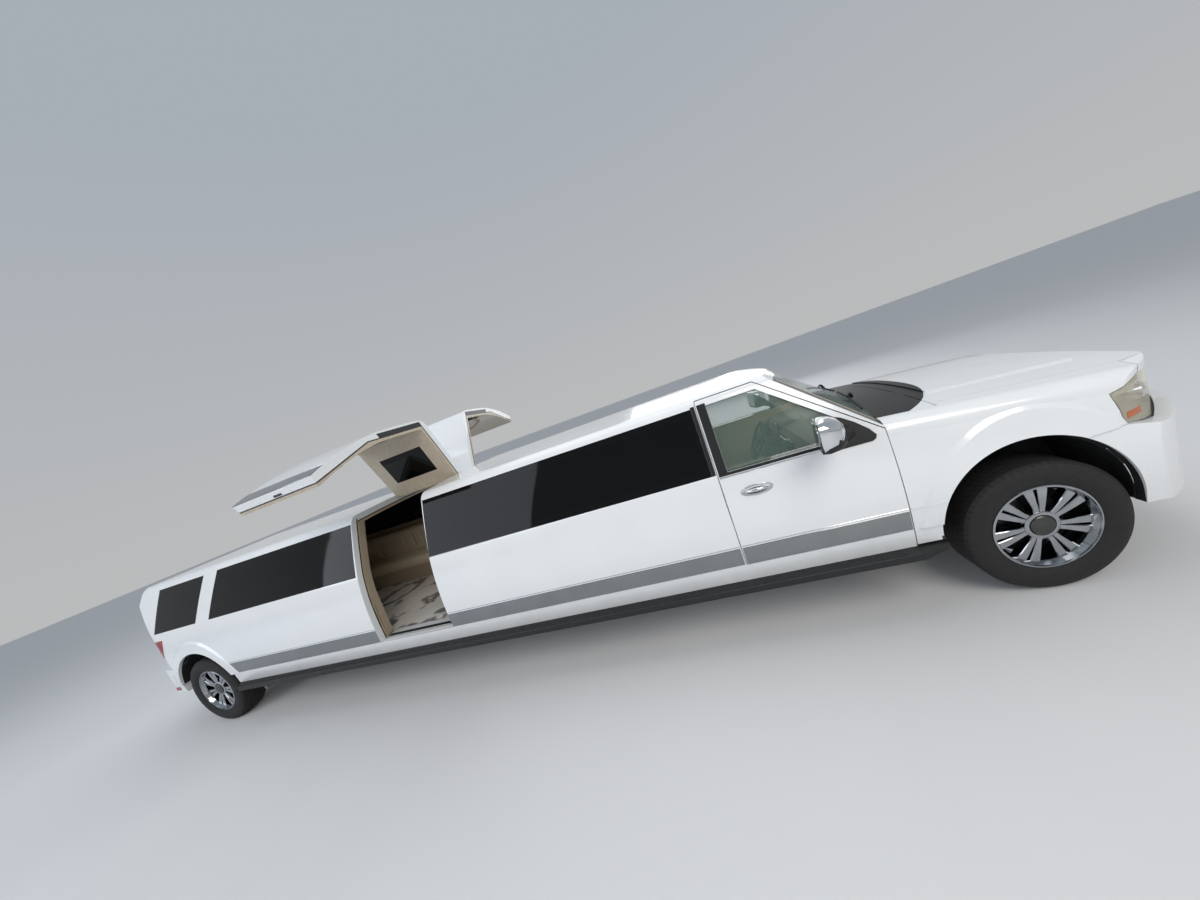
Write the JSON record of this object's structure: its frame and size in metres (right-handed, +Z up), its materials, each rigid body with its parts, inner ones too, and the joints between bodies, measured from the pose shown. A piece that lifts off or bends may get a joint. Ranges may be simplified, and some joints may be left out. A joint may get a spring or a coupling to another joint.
{
  "type": "stretch limousine",
  "caption": "Long white sport-utility limousine with two roof-hinged doors amidships, standing open, and a full passenger lounge.",
  "frame": {"origin": "on the ground, at the centre of the vehicle's length and width", "axes": "+X to the front of the vehicle, +Y to its left, +Z up"},
  "size_m": [9.9198, 3.1042, 2.4357],
  "materials": {
    "white_paint": "gloss",
    "bumper_white": "gloss",
    "frame_black": "satin",
    "floor_stone": "gloss",
    "cowl_black": "matte",
    "clear_glass": "clear, faint green",
    "privacy_glass": "dark tint",
    "chrome": "polished",
    "wheel_chrome": "polished",
    "radiator_grey": "matte",
    "lamp_clear": "hazed lens",
    "lamp_red": "lens",
    "board_black": "ribbed",
    "engine_grey": "cast",
    "exhaust_steel": "dull",
    "tank_grey": "matte",
    "dash_grey": "grained",
    "wheel_rim_black": "satin",
    "seat_leather": "satin",
    "trim_beige": "satin",
    "bench_leather": "satin",
    "bar_lacquer": "lacquer",
    "mirror_shell": "polished",
    "tyre": "rubber"
  },
  "bodies": {
    "body": {"chassis_frame": "frame_black", "floor_pan": "floor_stone", "firewall": "cowl_black", "roof_front": "white_paint", "roof_spine": "white_paint", "roof_rear": "white_paint", "windscreen": "clear_glass", "front_bumper": "bumper_white", "grille": "chrome", "radiator": "radiator_grey", "rear_bumper": "bumper_white", "headlamps": "lamp_clear", "tail_lamps": "lamp_red", "side_glass": "privacy_glass", "rockers": "white_paint", "running_boards": "board_black", "engine_block": "engine_grey", "front_suspension": "frame_black", "rear_axle": "frame_black", "propshaft": "frame_black", "exhaust": "exhaust_steel", "fuel_tank": "tank_grey", "dashboard": "dash_grey", "steering_wheel": "wheel_rim_black", "front_seats": "seat_leather", "partition": "trim_beige", "passenger_bench": "bench_leather", "bar_cabinet": "bar_lacquer", "side_mid_left": "white_paint", "side_rear_left": "white_paint", "fender_left": "white_paint", "side_mid_right": "white_paint", "side_rear_right": "white_paint", "fender_right": "white_paint"},
    "hood": {"hood": "white_paint"},
    "liftgate": {"liftgate": "white_paint", "liftgate_glass": "privacy_glass"},
    "front_door_left": {"front_door_left": "white_paint", "front_door_glass_left": "clear_glass", "mirror_left": "mirror_shell"},
    "jet_door_left": {"jet_door_left": "white_paint", "jet_glass_left": "privacy_glass"},
    "knuckle_left": {"knuckle_left": "frame_black"},
    "wheel_front_left": {"wheel_front_left": "wheel_chrome", "tyre_front_left": "tyre"},
    "wheel_rear_left": {"wheel_rear_left": "wheel_chrome", "tyre_rear_left": "tyre"},
    "front_door_right": {"front_door_right": "white_paint", "front_door_glass_right": "clear_glass", "mirror_right": "mirror_shell"},
    "jet_door_right": {"jet_door_right": "white_paint", "jet_glass_right": "privacy_glass"},
    "knuckle_right": {"knuckle_right": "frame_black"},
    "wheel_front_right": {"wheel_front_right": "wheel_chrome", "tyre_front_right": "tyre"},
    "wheel_rear_right": {"wheel_rear_right": "wheel_chrome", "tyre_rear_right": "tyre"}
  },
  "joints": [
    {"name": "front_door_left_hinge", "type": "hinge", "parent": "body", "child": "front_door_left", "pos_m": [3.315, 1.002, 0.92], "axis": [0, 0, -1], "range_deg": [0, 65]},
    {"name": "jet_door_left_hinge", "type": "hinge", "parent": "body", "child": "jet_door_left", "pos_m": [-0.64, 0.1, 1.80473], "axis": [-1, 0, 0], "range_deg": [0, 70]},
    {"name": "steer_left", "type": "hinge", "parent": "body", "child": "knuckle_left", "pos_m": [3.975, 0.79, 0.405], "axis": [0, 0, 1], "range_deg": [-33, 33]},
    {"name": "wheel_front_left_spin", "type": "hinge", "parent": "knuckle_left", "child": "wheel_front_left", "pos_m": [3.975, 0.852, 0.405], "axis": [0, 1, 0], "continuous": true},
    {"name": "wheel_rear_left_spin", "type": "hinge", "parent": "body", "child": "wheel_rear_left", "pos_m": [-3.825, 0.852, 0.405], "axis": [0, 1, 0], "continuous": true},
    {"name": "front_door_right_hinge", "type": "hinge", "parent": "body", "child": "front_door_right", "pos_m": [3.315, -1.002, 0.92], "axis": [0, 0, 1], "range_deg": [0, 65]},
    {"name": "jet_door_right_hinge", "type": "hinge", "parent": "body", "child": "jet_door_right", "pos_m": [-0.64, -0.1, 1.80473], "axis": [1, 0, 0], "range_deg": [0, 70]},
    {"name": "steer_right", "type": "hinge", "parent": "body", "child": "knuckle_right", "pos_m": [3.975, -0.79, 0.405], "axis": [0, 0, 1], "range_deg": [-33, 33]},
    {"name": "wheel_front_right_spin", "type": "hinge", "parent": "knuckle_right", "child": "wheel_front_right", "pos_m": [3.975, -0.852, 0.405], "axis": [0, 1, 0], "continuous": true},
    {"name": "wheel_rear_right_spin", "type": "hinge", "parent": "body", "child": "wheel_rear_right", "pos_m": [-3.825, -0.852, 0.405], "axis": [0, 1, 0], "continuous": true},
    {"name": "hood_hinge", "type": "hinge", "parent": "body", "child": "hood", "pos_m": [3.645, 0, 1.3331], "axis": [0, -1, 0], "range_deg": [0, 50]},
    {"name": "liftgate_hinge", "type": "hinge", "parent": "body", "child": "liftgate", "pos_m": [-4.525, 0, 1.7877], "axis": [0, 1, 0], "range_deg": [0, 80]}
  ],
  "couplings": [
    {"joint": "steer_right", "follows": "steer_left", "ratio": 1}
  ]
}
